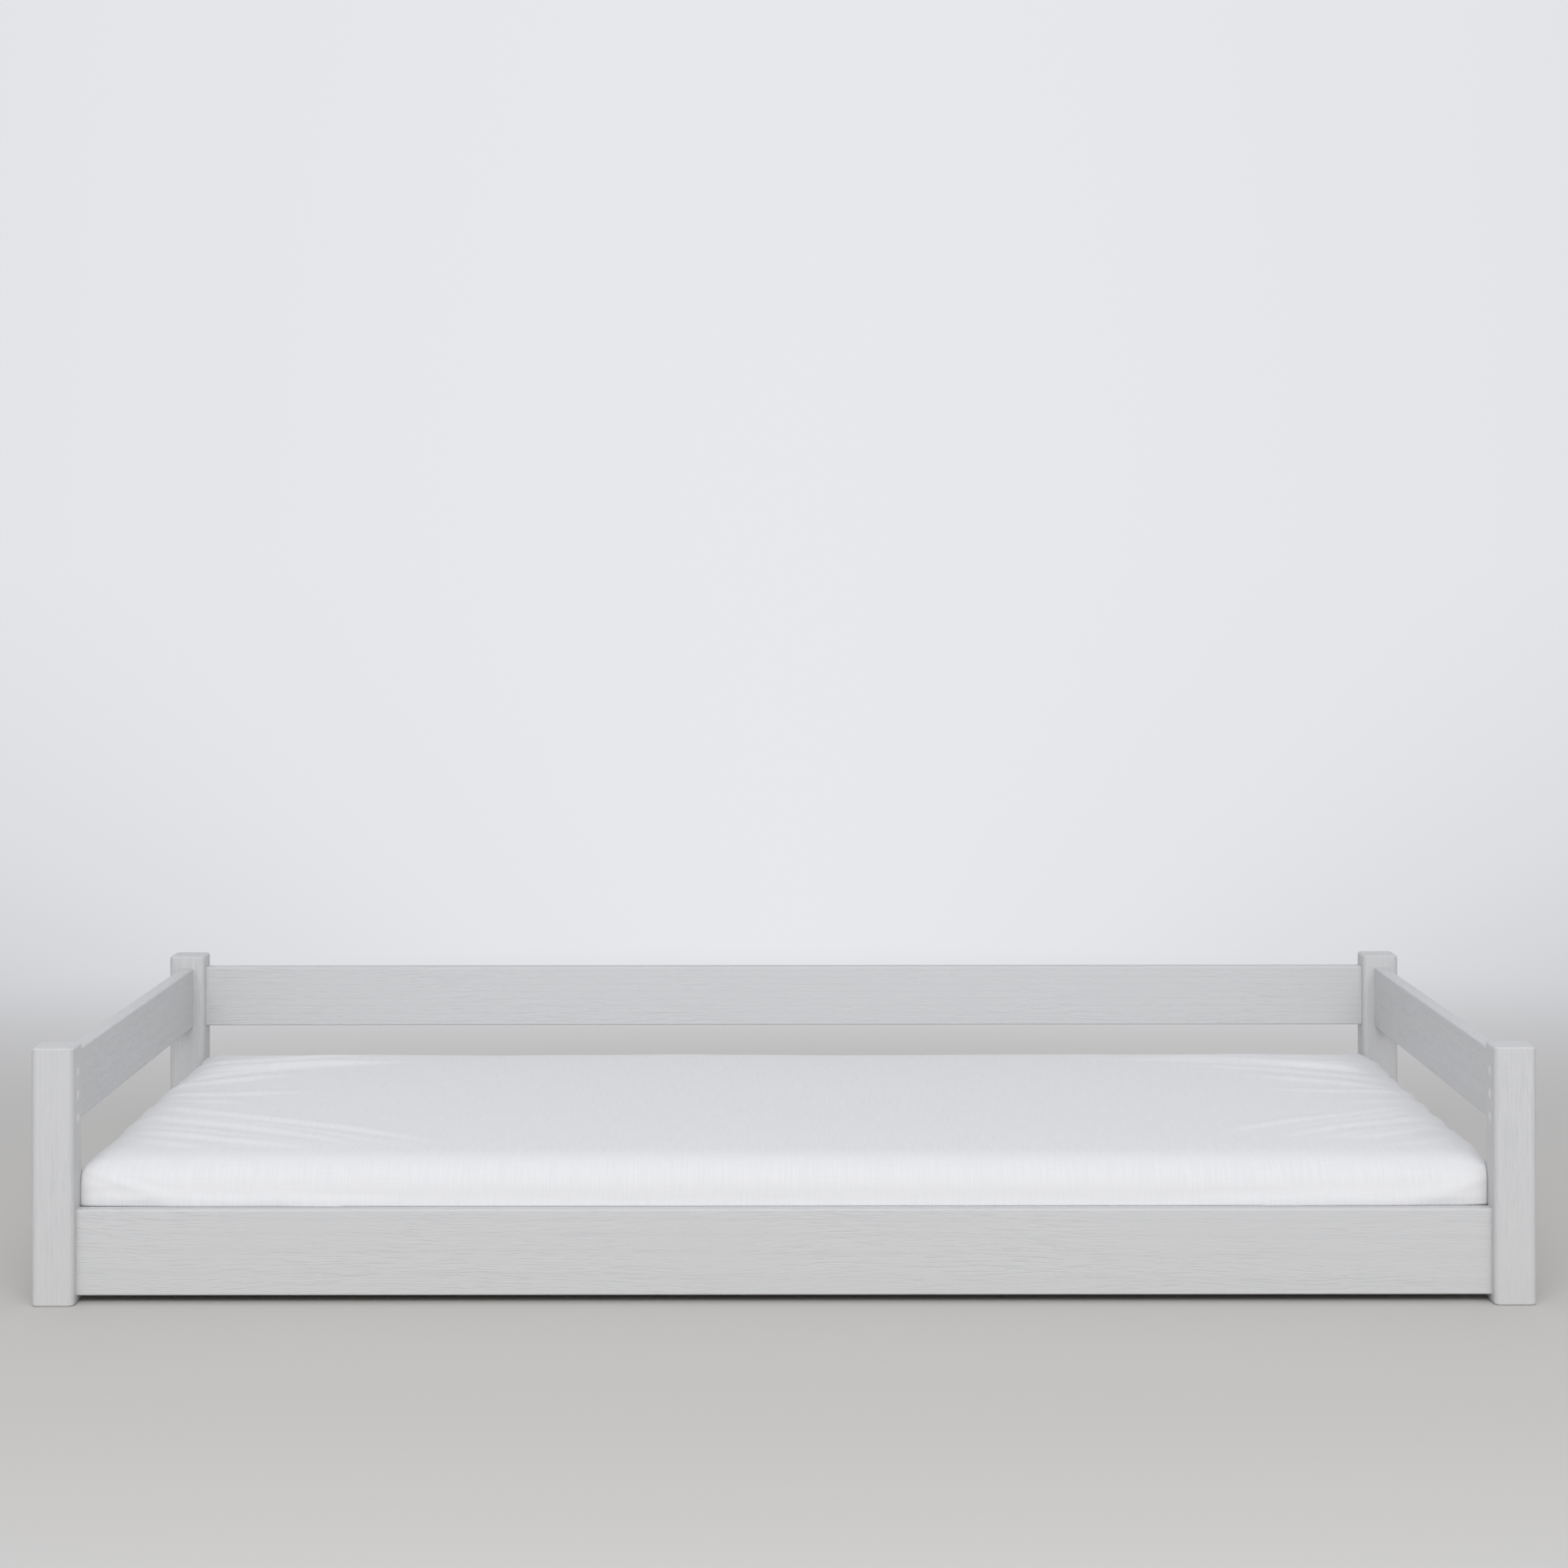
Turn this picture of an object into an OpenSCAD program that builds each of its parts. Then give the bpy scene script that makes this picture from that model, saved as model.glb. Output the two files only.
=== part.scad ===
// Low floor bed for a young child, with guard rails on both ends and at the rear.
// Four posts carry four lower boards, three guard rails and two ledgers. A mat of
// slats lies on the ledgers, and the mattress with its fitted sheet lies on the mat.
// The origin is on the floor at the middle of the footprint: X runs along the bed,
// the open front faces -Y, and Z is up.

/* [Bed] */
// Length over the posts
bed_l = 1884; // [1404:10:2004]
// Width over the posts
bed_w = 880; // [700:10:1000]
// Height of the posts
post_h = 323; // [320:1:400]

/* [Posts] */
// Side of the square section
post_s = 53; // [50:1:60]
// Radius of the upright edges
post_edge_r = 8; // [4:1:12]
// Chamfer round the top and the foot
post_chamfer = 2; // [1:0.5:3]

/* [Boards and rails] */
// Thickness of the lower boards and the guard rails
board_t = 20; // [20:1:24]
// Height of the lower boards
board_h = 108; // [106:1:114]
// Gap between the floor and the lower boards
board_z = 10; // [6:1:12]
// Height of the guard rails
rail_h = 90; // [88:1:95]
// Distance from the top of the guard rails to the top of the posts
rail_drop = 18; // [15:1:25]
// Radius of the long edges
board_edge_r = 2.5; // [1:0.5:4]

/* [Slat mat] */
// Number of slats
slat_count = 14; // [8:1:14]
// Width of a slat
slat_w = 70; // [50:1:75]
// Thickness of a slat
slat_t = 15; // [12:1:18]
// Side of the square ledgers
ledger_s = 25; // [22:1:28]
// Height of the underside of the ledgers
ledger_z = 37; // [36:1:40]
// Width of the webbing tape under the slats
tape_w = 25; // [20:1:30]

/* [Mattress] */
// Gap between the mattress and each end board
mattress_end_gap = 13.5; // [10:0.5:30]
// Gap between the mattress and each side board
mattress_side_gap = 3.5; // [3:0.5:20]
// Height of the top of the sheet
mattress_top = 178; // [150:1:190]
// Radius of the upper edges and the upright corners
mattress_r = 28; // [20:1:35]
// Thickness of the sheet
sheet_t = 1.2; // [0.8:0.1:2]

/* [Hidden] */
post_x = (bed_l - post_s) / 2;
post_y = (bed_w - post_s) / 2;
inner_x = bed_l / 2 - post_s;
inner_y = bed_w / 2 - post_s;
post_core = post_s - 2 * post_edge_r;

// Inner faces of the boards: the ends at end_face_x, the sides at side_face_y
end_face_x = post_x - board_t / 2;
side_face_y = post_y - board_t / 2;

rail_z = post_h - rail_drop - rail_h;
rail_mid = rail_z + rail_h / 2;
board_mid = board_z + board_h / 2;

fit_gap = 0.1;
play = 0.3;

// Connector bolts with cross dowel nuts
bolt_d = 6;
bolt_hole_d = 7;
bolt_l = 90;
bolt_hole_l = 52;
head_d = 15;
head_t = 2.4;
head_hex = 4;
head_hex_depth = 1.8;
counterbore_d = 16;
counterbore_t = 3;
nut_d = 10;
nut_l = 14;
nut_slot = 1.2;
nut_inset = 30;
nut_bore_t = 17.5;
board_bolt_pitch = 64;
board_bolt_drop = 3;
bolt_zs = [for (s = [-1, 1]) board_mid - board_bolt_drop + s * board_bolt_pitch / 2];

// Wooden dowels
dowel_d = 8;
dowel_l = 40;
dowel_bore_t = dowel_l / 2 + 0.5;
guard_dowel_pitch = 58;
guard_dowel_zs = [rail_mid - guard_dowel_pitch / 2, rail_mid + guard_dowel_pitch / 2];
end_board_dowel_zs = [45, 80];
end_rail_dowel_pitch = 30;
end_rail_dowel_zs = [rail_mid - end_rail_dowel_pitch / 2, rail_mid + end_rail_dowel_pitch / 2];

// Caps over the spare holes of the front posts
cap_d = 13;
cap_dome = 1.4;
cap_stem_l = 9;

// Countersunk wood screws
screw_d = 4;
screw_head_d = 8;
screw_head_t = 2.6;
screw_hex = 2.4;
screw_hex_depth = 1.2;
screw_l = 40;
slat_screw_l = 30;
screw_bite = 16;
ledger_screw_count = 6;
ledger_screw_pitch = (bed_l - 280) / (ledger_screw_count - 1);
ledger_screw_xs = [for (i = [0:ledger_screw_count - 1])
                   (i - (ledger_screw_count - 1) / 2) * ledger_screw_pitch];
ledger_y = side_face_y - ledger_s;
slat_screw_inset = 8;
slat_screw_y = ledger_y + slat_screw_inset;

// Slat mat
ledger_end_gap = 1;
ledger_l = 2 * (inner_x - ledger_end_gap);
slat_z = ledger_z + ledger_s;
slat_end_gap = 7;
slat_l = 2 * (side_face_y - slat_end_gap);
slat_margin = 9;
slat_pitch = (ledger_l - 2 * slat_margin - slat_w) / (slat_count - 1);
slat_xs = [for (i = [0:slat_count - 1]) (i - (slat_count - 1) / 2) * slat_pitch];
slat_edge = 1.5;
tape_t = 1;
tape_y = 0.34 * bed_w;
staple_wire = 0.8;
staple_w = 12;
staple_leg = 8;

// Mattress
mattress_l = 2 * (end_face_x - mattress_end_gap);
mattress_w = 2 * (side_face_y - mattress_side_gap);
sheet_z = slat_z + slat_t + play;
sheet_h = mattress_top - sheet_z;
sheet_hem = 120;
mattress_foot_r = 12;

paint = [0.80, 0.80, 0.82];
pine = [0.85, 0.72, 0.53];
zinc = [0.70, 0.71, 0.73];
cap_grey = [0.76, 0.76, 0.78];
cotton = [0.95, 0.95, 0.96];
foam = [0.93, 0.91, 0.84];

$fn = 64;

function slat_name(i) = str("slat_", i < 9 ? "0" : "", i + 1);
SLAT_NODES = [for (i = [0:slat_count - 1]) slat_name(i)];
POST_NODES = ["front_left_post", "front_right_post", "rear_left_post", "rear_right_post"];

// ---- Helpers ----

// A cylinder of diameter d that runs l along +X from the origin
module rod_x(d, l) {
    rotate([0, 90, 0]) cylinder(d = d, h = l);
}

// A cylinder of diameter d that runs l along +Y from the origin
module rod_y(d, l) {
    rotate([-90, 0, 0]) cylinder(d = d, h = l);
}

// The children at all four posts, turned so that -X and -Y point away from the bed
module at_posts() {
    for (sx = [-1, 1], sy = [-1, 1]) at_post(sx, sy) children();
}

// The children at one post, built for the front left one and mirrored
module at_post(sx, sy) {
    mirror([sx > 0 ? 1 : 0, 0, 0]) mirror([0, sy > 0 ? 1 : 0, 0])
        translate([-post_x, -post_y, 0]) children();
}

// ---- Posts ----

// Half of the post's section from its middle plane, with both chamfers
module chamfered_half(w) {
    polygon([[0, 0], [w - post_chamfer, 0], [w, post_chamfer],
             [w, post_h - post_chamfer], [w - post_chamfer, post_h], [0, post_h]]);
}

// A slab of the post that is l wide, with chamfered edges towards +X and -X
module chamfered_slab(l) {
    rotate([90, 0, 0]) translate([0, 0, -l / 2]) linear_extrude(l) {
        chamfered_half(post_s / 2);
        mirror([1, 0]) chamfered_half(post_s / 2);
    }
}

module post_blank() {
    chamfered_slab(post_core);
    rotate([0, 0, 90]) chamfered_slab(post_core);
    for (a = [0:90:270]) rotate([0, 0, a])
        translate([post_core / 2, post_core / 2, 0])
            rotate_extrude(angle = 90) chamfered_half(post_edge_r);
}

// A through hole for a bolt, with its counterbore in the outer face
module post_bolt_hole(z) {
    translate([-post_s, 0, z]) rod_x(bolt_hole_d, 2 * post_s);
    translate([-post_s / 2 - 1, 0, z]) rod_x(counterbore_d, counterbore_t + 1);
}

// One post about its own axis: every post has the same holes
module post() {
    difference() {
        post_blank();
        for (z = bolt_zs) post_bolt_hole(z);
        post_bolt_hole(rail_mid);
        for (z = guard_dowel_zs)
            translate([post_s / 2 - dowel_bore_t, 0, z])
                rod_x(dowel_d + 2 * fit_gap, dowel_l);
        for (z = concat(end_board_dowel_zs, end_rail_dowel_zs))
            translate([0, post_s / 2 - dowel_bore_t, z])
                rod_y(dowel_d + 2 * fit_gap, dowel_l);
    }
}

module placed_post(sx, sy) {
    color(paint) at_post(sx, sy) post();
}

// ---- Boards and guard rails ----

// A rectangle with round corners, centred, made of true arcs
module eased_section(w, h) {
    square([w - 2 * board_edge_r, h], center = true);
    square([w, h - 2 * board_edge_r], center = true);
    for (sx = [-1, 1], sy = [-1, 1])
        translate([sx * (w / 2 - board_edge_r), sy * (h / 2 - board_edge_r)])
            circle(board_edge_r);
}

// A board along X of half-length hl, centred on the origin
module board_x(hl, h) {
    translate([-hl, 0, 0]) rotate([90, 0, 90])
        linear_extrude(2 * hl) eased_section(board_t, h);
}

// A board along Y of half-length hl, centred on the origin
module board_y(hl, h) {
    translate([0, hl, 0]) rotate([90, 0, 0])
        linear_extrude(2 * hl) eased_section(board_t, h);
}

// The bolt hole and the cross dowel's bore at the left end of a board along X.
// The bore opens in the face towards +Y. The board's end is at the origin.
module bolt_seat() {
    translate([-1, 0, 0]) rod_x(bolt_hole_d, bolt_hole_l + 1);
    translate([nut_inset, board_t / 2 - nut_bore_t, 0])
        rod_y(nut_d + 2 * fit_gap, nut_bore_t + 1);
}

// A lower board along the front. The rear one is this one mirrored.
module side_board() {
    difference() {
        board_x(inner_x, board_h);
        for (sx = [0, 1], z = bolt_zs) mirror([sx, 0, 0])
            translate([-inner_x, 0, z - board_mid]) bolt_seat();
        for (x = ledger_screw_xs)
            translate([x, board_t / 2 - screw_bite, ledger_z + ledger_s / 2 - board_mid])
                rod_y(screw_d + 2 * fit_gap, screw_bite + 1);
    }
}

module front_side_board() {
    color(paint) translate([0, -post_y, board_mid]) side_board();
}

module rear_side_board() {
    color(paint) mirror([0, 1, 0]) translate([0, -post_y, board_mid]) side_board();
}

// A board or rail between the posts of the left end, with dowel holes at heights zs
module end_panel(h, mid, zs) {
    translate([-post_x, 0, mid]) difference() {
        board_y(inner_y, h);
        for (sy = [0, 1], z = zs) mirror([0, sy, 0])
            translate([0, -inner_y - 1, z - mid])
                rod_y(dowel_d + 2 * fit_gap, dowel_bore_t + 1);
    }
}

module left_end_board() {
    color(paint) end_panel(board_h, board_mid, end_board_dowel_zs);
}

module right_end_board() {
    color(paint) mirror([1, 0, 0]) end_panel(board_h, board_mid, end_board_dowel_zs);
}

module left_guard_rail() {
    color(paint) end_panel(rail_h, rail_mid, end_rail_dowel_zs);
}

module right_guard_rail() {
    color(paint) mirror([1, 0, 0]) end_panel(rail_h, rail_mid, end_rail_dowel_zs);
}

module rear_guard_rail() {
    color(paint) translate([0, post_y, rail_mid]) difference() {
        board_x(inner_x, rail_h);
        for (sx = [0, 1]) mirror([sx, 0, 0]) translate([-inner_x, 0, 0]) {
            bolt_seat();
            for (z = guard_dowel_zs)
                translate([-1, 0, z - rail_mid])
                    rod_x(dowel_d + 2 * fit_gap, dowel_bore_t + 1);
        }
    }
}

// ---- Ledgers and slat mat ----

// A countersunk screw pointing along +Z, with its head's face at the origin
module screw(l) {
    difference() {
        union() {
            cylinder(d = screw_d, h = l - screw_d);
            cylinder(d1 = screw_head_d, d2 = screw_d, h = screw_head_t);
            translate([0, 0, l - screw_d]) cylinder(d1 = screw_d, d2 = 0.6, h = screw_d);
        }
        translate([0, 0, -1]) cylinder(d = screw_hex, h = screw_hex_depth + 1, $fn = 6);
    }
}

// The hole that a countersunk screw leaves
module screw_hole(l) {
    cylinder(d = screw_d + 2 * fit_gap, h = l + 1);
    translate([0, 0, -fit_gap])
        cylinder(d1 = screw_head_d + 2 * fit_gap, d2 = screw_d + 2 * fit_gap,
                 h = screw_head_t + fit_gap);
    translate([0, 0, -2]) cylinder(d = screw_head_d + 2 * fit_gap, h = 2 - fit_gap + 0.01);
}

// The children at each ledger screw of the front, with +Z pointing into the board
module at_ledger_screws() {
    for (x = ledger_screw_xs)
        translate([x, -ledger_y, ledger_z + ledger_s / 2])
            rotate([90, 0, 0]) children();
}

module ledger() {
    difference() {
        translate([-ledger_l / 2, -ledger_y - ledger_s, ledger_z])
            cube([ledger_l, ledger_s, ledger_s]);
        at_ledger_screws() screw_hole(ledger_s);
        for (x = [slat_xs[0], slat_xs[slat_count - 1]])
            translate([x, -slat_screw_y, slat_z + 1]) mirror([0, 0, 1])
                cylinder(d = screw_d + 2 * fit_gap, h = slat_screw_l - slat_t + 2);
    }
}

module front_ledger() {
    color(pine) ledger();
}

module rear_ledger() {
    color(pine) mirror([0, 1, 0]) ledger();
}

// The two legs of each staple of one slat, with gap all round
module staple_legs(gap) {
    side = staple_wire + 2 * gap;
    for (sy = [-1, 1], sx = [-1, 1])
        translate([sx * (staple_w - staple_wire) / 2, sy * tape_y,
                   slat_z - tape_t - 0.2 + (staple_leg + gap) / 2])
            cube([side, side, staple_leg + gap + 0.4], center = true);
}

module slat(i) {
    end_slat = i == 0 || i == slat_count - 1;
    color(pine) translate([slat_xs[i], 0, 0]) difference() {
        translate([0, slat_l / 2, slat_z + slat_t / 2]) rotate([90, 0, 0])
            linear_extrude(slat_l) slat_section();
        staple_legs(fit_gap);
        if (end_slat) for (sy = [-1, 1])
            translate([0, sy * slat_screw_y, slat_z + slat_t]) mirror([0, 0, 1])
                screw_hole(slat_t + 1);
    }
}

// A slat's section with its four long edges broken
module slat_section() {
    e = slat_edge;
    x = slat_w / 2;
    y = slat_t / 2;
    polygon([[-x + e, -y], [x - e, -y], [x, -y + e], [x, y - e],
             [x - e, y], [-x + e, y], [-x, y - e], [-x, -y + e]]);
}

module slat_tape(sy) {
    tape_l = slat_xs[slat_count - 1] - slat_xs[0] + slat_w;
    color(cotton) difference() {
        translate([-tape_l / 2, sy * tape_y - tape_w / 2, slat_z - tape_t - 0.05])
            cube([tape_l, tape_w, tape_t]);
        for (x = slat_xs) translate([x, 0, 0]) staple_legs(fit_gap);
    }
}

module tape_staples() {
    color(zinc) for (x = slat_xs) translate([x, 0, 0]) {
        staple_legs(0);
        for (sy = [-1, 1])
            translate([0, sy * tape_y, slat_z - tape_t - 0.1 - staple_wire / 2])
                cube([staple_w, staple_wire, staple_wire], center = true);
    }
}

// ---- Fasteners ----

// A connector bolt along +X: the underside of its flat head is at the origin
module connector_bolt() {
    rod_x(bolt_d, bolt_l);
    difference() {
        translate([-head_t, 0, 0]) rod_x(head_d, head_t);
        translate([-head_t - 1, 0, 0]) rotate([0, 90, 0])
            cylinder(d = head_hex / cos(30), h = head_hex_depth + 1, $fn = 6);
    }
}

// A cross dowel nut along +Y whose thread axis passes through the origin along X
module barrel_nut() {
    difference() {
        translate([0, -nut_l / 2, 0]) rod_y(nut_d, nut_l);
        translate([-nut_d, 0, 0]) rod_x(bolt_d + 2 * fit_gap, 2 * nut_d);
        translate([-nut_d, nut_l / 2 - nut_slot, -nut_slot / 2])
            cube([2 * nut_d, 2, nut_slot]);
    }
}

// From a post's axis to the floor of its counterbore, along X
bolt_seat_x = post_s / 2 - counterbore_t;

module side_board_bolts() {
    color(zinc) at_posts() for (z = bolt_zs)
        translate([-bolt_seat_x, 0, z]) connector_bolt();
}

module side_board_barrel_nuts() {
    color(zinc) at_posts() for (z = bolt_zs)
        translate([post_s / 2 + nut_inset, 0, z]) barrel_nut();
}

// Only the rear posts carry a guard rail along X
module guard_rail_bolts() {
    color(zinc) for (sx = [-1, 1]) at_post(sx, 1)
        translate([-bolt_seat_x, 0, rail_mid]) connector_bolt();
}

module guard_rail_barrel_nuts() {
    color(zinc) for (sx = [-1, 1]) at_post(sx, 1)
        translate([post_s / 2 + nut_inset, 0, rail_mid]) mirror([0, 1, 0]) barrel_nut();
}

// A fluted wooden pin of the joints, along +Z, with both ends chamfered
module dowel() {
    c = 1;
    cylinder(d1 = dowel_d - 2 * c, d2 = dowel_d, h = c);
    translate([0, 0, c]) cylinder(d = dowel_d, h = dowel_l - 2 * c);
    translate([0, 0, dowel_l - c]) cylinder(d1 = dowel_d, d2 = dowel_d - 2 * c, h = c);
}

module guard_rail_dowels() {
    color(pine) for (sx = [-1, 1], z = guard_dowel_zs) at_post(sx, 1)
        translate([post_s / 2 - dowel_l / 2, 0, z]) rotate([0, 90, 0]) dowel();
}

// Dowels along Y at heights zs in all four posts
module end_dowels(zs) {
    color(pine) at_posts() for (z = zs)
        translate([0, post_s / 2 - dowel_l / 2, z]) rotate([-90, 0, 0]) dowel();
}

module end_board_dowels() {
    end_dowels(end_board_dowel_zs);
}

module end_rail_dowels() {
    end_dowels(end_rail_dowel_zs);
}

module ledger_screws() {
    color(zinc) for (m = [0, 1]) mirror([0, m, 0])
        at_ledger_screws() screw(screw_l);
}

module slat_screws() {
    color(zinc) for (x = [slat_xs[0], slat_xs[slat_count - 1]], sy = [-1, 1])
        translate([x, sy * slat_screw_y, slat_z + slat_t]) mirror([0, 0, 1])
            screw(slat_screw_l);
}

// ---- Caps over the spare holes of the front posts ----

// A domed cap of diameter d with a stem along -X; its rim lies at the origin
module hole_cap(d, stem_d, stem_l) {
    dome_r = (pow(d / 2, 2) + pow(cap_dome, 2)) / (2 * cap_dome);
    rotate([0, 90, 0]) rotate_extrude() {
        intersection() {
            translate([0, cap_dome - dome_r]) circle(dome_r, $fn = 180);
            square([d / 2, cap_dome]);
        }
        translate([0, -stem_l]) square([stem_d / 2, stem_l]);
    }
}

module dowel_hole_caps() {
    color(cap_grey) for (sx = [-1, 1], z = guard_dowel_zs) at_post(sx, -1)
        translate([post_s / 2, 0, z]) hole_cap(cap_d, dowel_d, cap_stem_l);
}

module bolt_hole_caps() {
    color(cap_grey) for (sx = [-1, 1]) at_post(sx, -1)
        translate([post_s / 2, 0, rail_mid])
            hole_cap(cap_d, bolt_hole_d - 2 * fit_gap, cap_stem_l);
}

module outer_hole_caps() {
    color(cap_grey) for (sx = [-1, 1]) at_post(sx, -1)
        translate([-bolt_seat_x, 0, rail_mid]) mirror([1, 0, 0])
            hole_cap(counterbore_d - 4 * fit_gap, bolt_hole_d - 2 * fit_gap, cap_stem_l);
}

// ---- Mattress ----

// The section of a soft edge: r wide from the block's core to its face, h high
module soft_edge(r, rt, h) {
    rb = mattress_foot_r;
    translate([0, rb]) square([r, h - rt - rb]);
    square([r - rb, h - rt]);
    translate([r - rb, rb]) circle(rb);
    intersection() {
        translate([r - rt, h - rt]) circle(rt);
        square([r, h]);
    }
}

// A block of size l by w by h whose upper edges and upright corners have radius r
module soft_block(l, w, h, r) {
    x = l / 2 - r;
    y = w / 2 - r;
    translate([-x, -y, 0]) cube([2 * x, 2 * y, h]);
    for (m = [0, 1]) mirror([m, 0, 0]) translate([x, y, 0]) rotate([90, 0, 0])
        linear_extrude(2 * y) soft_edge(r, r, h);
    for (m = [0, 1]) mirror([0, m, 0]) translate([-x, y, 0]) rotate([90, 0, 90])
        linear_extrude(2 * x) soft_edge(r, r, h);
    for (mx = [0, 1], my = [0, 1]) mirror([mx, 0, 0]) mirror([0, my, 0])
        translate([x, y, 0]) rotate_extrude(angle = 90) soft_edge(r, r, h);
}

module mattress_core() {
    inset = sheet_t + fit_gap;
    color(foam) translate([0, 0, sheet_z + inset])
        soft_block(mattress_l - 2 * inset, mattress_w - 2 * inset,
                   sheet_h - 2 * inset, mattress_r - inset);
}

module fitted_sheet() {
    color(cotton) difference() {
        translate([0, 0, sheet_z])
            soft_block(mattress_l, mattress_w, sheet_h, mattress_r);
        translate([0, 0, sheet_z + sheet_t])
            soft_block(mattress_l - 2 * sheet_t, mattress_w - 2 * sheet_t,
                       sheet_h - 2 * sheet_t, mattress_r - sheet_t);
        translate([0, 0, sheet_z])
            cube([mattress_l - 2 * sheet_hem, mattress_w - 2 * sheet_hem, 10], center = true);
    }
}

// ---- Assembly ----

for (i = [0:3])
    placed_post(i % 2 * 2 - 1, i < 2 ? -1 : 1);
front_side_board();
rear_side_board();
left_end_board();
right_end_board();
rear_guard_rail();
left_guard_rail();
right_guard_rail();
front_ledger();
rear_ledger();
for (i = [0:slat_count - 1])
    slat(i);
slat_tape(-1);  // front_slat_tape
slat_tape(1);  // rear_slat_tape
tape_staples();
side_board_bolts();
side_board_barrel_nuts();
guard_rail_bolts();
guard_rail_barrel_nuts();
guard_rail_dowels();
end_board_dowels();
end_rail_dowels();
dowel_hole_caps();
bolt_hole_caps();
outer_hole_caps();
ledger_screws();
slat_screws();
mattress_core();
fitted_sheet();
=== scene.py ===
"""Looks for a low wooden floor bed with guard rails, a slatted base and a mattress in a fitted sheet.

The CAD frame gives every size and place. The woodwork and the hardware keep their CAD meshes and
get materials here. The mattress and its fitted sheet are modelled here, each as a grid wrapped round
a soft block. A cloth simulation settles the sheet on the mattress, and the creases of a stretched
sheet are added after it. Lengths are in metres.
"""

import math

import bpy
import numpy as np
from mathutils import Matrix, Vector, noise
from mathutils.bvhtree import BVHTree


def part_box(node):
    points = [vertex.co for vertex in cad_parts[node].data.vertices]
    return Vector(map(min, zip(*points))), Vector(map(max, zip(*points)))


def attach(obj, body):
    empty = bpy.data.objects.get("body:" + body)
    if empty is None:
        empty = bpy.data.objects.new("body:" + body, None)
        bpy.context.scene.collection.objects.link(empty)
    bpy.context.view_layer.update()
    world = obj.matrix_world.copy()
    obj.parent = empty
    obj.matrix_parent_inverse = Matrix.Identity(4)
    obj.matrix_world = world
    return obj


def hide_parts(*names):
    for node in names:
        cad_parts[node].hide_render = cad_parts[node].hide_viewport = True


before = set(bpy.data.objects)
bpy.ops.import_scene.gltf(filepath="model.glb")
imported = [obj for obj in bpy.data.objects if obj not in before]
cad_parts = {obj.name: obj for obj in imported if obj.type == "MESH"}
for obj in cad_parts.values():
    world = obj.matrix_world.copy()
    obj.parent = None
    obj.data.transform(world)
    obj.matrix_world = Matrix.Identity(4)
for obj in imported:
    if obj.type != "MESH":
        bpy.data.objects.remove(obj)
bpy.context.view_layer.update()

TINY = 1e-9

# ---- Camera ----

# The camera looks squarely at the front, from higher than the bed and in line with its middle. It is
# level but for a slight roll, and the lens is shifted to frame the bed.
CAMERA_BACK = 3.653
CAMERA_UP = 0.945
LENS = 67.08
SENSOR = 36.0
SHIFT_DOWN = 0.1488
SHIFT_RIGHT = 0.0004
ROLL_DEGREES = 0.053
CLIP_END = 200.0


def make_camera():
    low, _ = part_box("front_left_post")
    data = bpy.data.cameras.new("camera")
    data.lens = LENS
    data.sensor_width = SENSOR
    data.shift_x = SHIFT_RIGHT
    data.shift_y = -SHIFT_DOWN
    data.clip_end = CLIP_END
    camera = bpy.data.objects.new("camera", data)
    camera.location = (0.0, low[1] - CAMERA_BACK, CAMERA_UP)
    camera.rotation_euler = (math.radians(90), math.radians(ROLL_DEGREES), 0.0)
    bpy.context.scene.collection.objects.link(camera)
    bpy.context.scene.camera = camera


# ---- Shader nodes ----


def fill(tree, node, inputs):
    """Sets inputs of a node, each to a value or by a link from a socket."""
    for key, value in inputs.items():
        if isinstance(value, bpy.types.NodeSocket):
            tree.links.new(value, node.inputs[key])
        else:
            node.inputs[key].default_value = value


def add(tree, kind, inputs=None, **settings):
    """A new node, with settings as attributes, and inputs as values or as sockets to link from."""
    made = tree.nodes.new(kind)
    for key, value in settings.items():
        setattr(made, key, value)
    fill(tree, made, inputs or {})
    return made


def start_material(name):
    """A material with a Principled shader: the material, its tree and the shader."""
    material = bpy.data.materials.new(name)
    material.use_nodes = True
    tree = material.node_tree
    return material, tree, tree.nodes["Principled BSDF"]


def maths(tree, operation, first, second):
    return add(tree, "ShaderNodeMath", {0: first, 1: second}, operation=operation).outputs[0]


def weighted_sum(tree, *terms):
    """The sum of some values, each given with its weight."""
    total = 0.0
    for value, weight in terms:
        inputs = {0: value, 1: weight, 2: total}
        total = add(tree, "ShaderNodeMath", inputs, operation="MULTIPLY_ADD").outputs[0]
    return total


def blend_colours(tree, factor, first, second):
    """A colour between two others by a factor from 0 to 1."""
    mixed = add(tree, "ShaderNodeMix", {0: factor, 6: first, 7: second}, data_type="RGBA")
    return mixed.outputs[2]


def tint(tree, tone, colour, where, strength):
    """A tone drawn towards a colour, by the given strength where the mask is 1."""
    return blend_colours(tree, maths(tree, "MULTIPLY", where, strength), tone, colour)


def ramp(tree, value, low, high, to_low=0.0, to_high=1.0):
    limits = {0: value, 1: low, 2: high, 3: to_low, 4: to_high}
    return add(tree, "ShaderNodeMapRange", limits).outputs[0]


def place(tree, source, scale, offset=(0.0, 0.0, 0.0)):
    """Texture coordinates, moved and then scaled."""
    moved = add(tree, "ShaderNodeVectorMath", {0: source, 1: offset}, operation="ADD")
    scaled = {0: moved.outputs[0], 1: scale}
    return add(tree, "ShaderNodeVectorMath", scaled, operation="MULTIPLY").outputs[0]


def noise_value(tree, vector, scale=1.0, detail=2.0):
    values = {"Vector": vector, "Scale": scale, "Detail": detail}
    return add(tree, "ShaderNodeTexNoise", values).outputs[0]


def object_coordinates(tree):
    return add(tree, "ShaderNodeTexCoord").outputs["Object"]


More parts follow.
